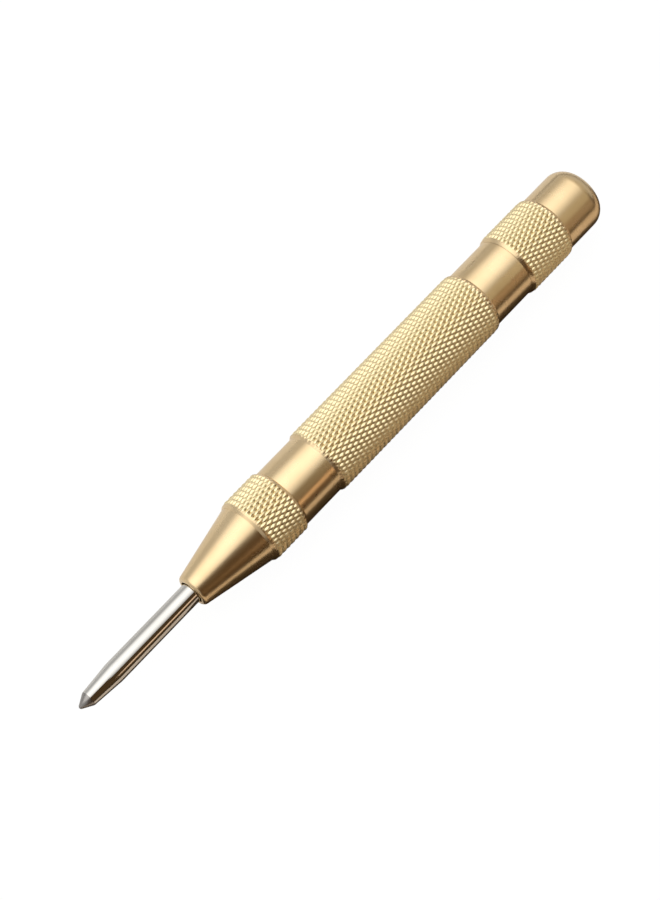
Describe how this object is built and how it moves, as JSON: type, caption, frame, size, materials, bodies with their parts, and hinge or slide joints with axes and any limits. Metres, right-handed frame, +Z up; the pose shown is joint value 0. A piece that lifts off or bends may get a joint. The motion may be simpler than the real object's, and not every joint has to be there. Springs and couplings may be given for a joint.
{
  "type": "automatic centre punch",
  "caption": "Spring-loaded automatic centre punch: steel point in a tapered brass nose, knurled brass barrel and screw-on force-adjusting cap.",
  "frame": {"origin": "on the resting surface, under the middle of the tool's length", "axes": "+X along the tool's axis from the point to the cap; +Z up, with the tool lying on its knurled rings"},
  "size_m": [0.13, 0.013, 0.013],
  "materials": {
    "body_brass": "satin, fine turning marks, diamond knurl on the grip",
    "nose_brass": "satin, fine turning marks, knurled ring",
    "cap_brass": "satin, fine turning marks, knurled ring",
    "punch_steel": "hardened steel, ground and polished",
    "pin_steel": "turned steel",
    "hammer_steel": "turned steel, oiled",
    "return_spring_steel": "bright spring wire",
    "main_spring_steel": "dark spring wire",
    "seat_steel": "turned steel"
  },
  "bodies": {
    "barrel": {"barrel": "body_brass", "main_spring": "main_spring_steel"},
    "return_spring": {"return_spring": "return_spring_steel"},
    "nose_cone": {"nose_cone": "nose_brass"},
    "punch_point": {"punch_point": "punch_steel"},
    "release_pin": {"release_pin": "pin_steel"},
    "hammer": {"hammer": "hammer_steel"},
    "spring_seat": {"spring_seat": "seat_steel"},
    "adjusting_cap": {"adjusting_cap": "cap_brass"}
  },
  "joints": [
    {"name": "nose_travel", "type": "slide", "parent": "barrel", "child": "return_spring", "axis": [-1, 0, 0], "range_m": [0, 0.007]},
    {"name": "nose_turn", "type": "hinge", "parent": "return_spring", "child": "nose_cone", "pos_m": [-0.016, 0, 0.00649], "axis": [-1, 0, 0], "range_deg": [0, 2520]},
    {"name": "punch_stroke", "type": "slide", "parent": "nose_cone", "child": "punch_point", "axis": [1, 0, 0], "range_m": [0, 0.009], "stiffness_N_per_m": 150, "springref_m": -0.006, "deforming": ["return_spring"]},
    {"name": "pin_tilt", "type": "hinge", "parent": "punch_point", "child": "release_pin", "pos_m": [-0.0172, 0, 0.00649], "axis": [0, 1, 0], "range_deg": [-2.5, 0]},
    {"name": "hammer_slide", "type": "slide", "parent": "barrel", "child": "hammer", "axis": [1, 0, 0], "range_m": [0, 0.009], "stiffness_N_per_m": 1500, "springref_m": -0.004, "deforming": ["main_spring"]},
    {"name": "cap_travel", "type": "slide", "parent": "barrel", "child": "spring_seat", "axis": [1, 0, 0], "range_m": [0, 0.005], "deforming": ["main_spring"]},
    {"name": "cap_turn", "type": "hinge", "parent": "spring_seat", "child": "adjusting_cap", "pos_m": [0.0434, 0, 0.00649], "axis": [1, 0, 0], "range_deg": [0, 1800]}
  ],
  "couplings": [
    {"joint": "nose_travel", "follows": "nose_turn", "m_per_rad": 0.00015915},
    {"joint": "cap_travel", "follows": "cap_turn", "m_per_rad": 0.00015915},
    {"joint": "hammer_slide", "follows": "punch_stroke", "ratio": 1},
    {"joint": "pin_tilt", "follows": "punch_stroke", "rad_per_m": -4.654}
  ]
}
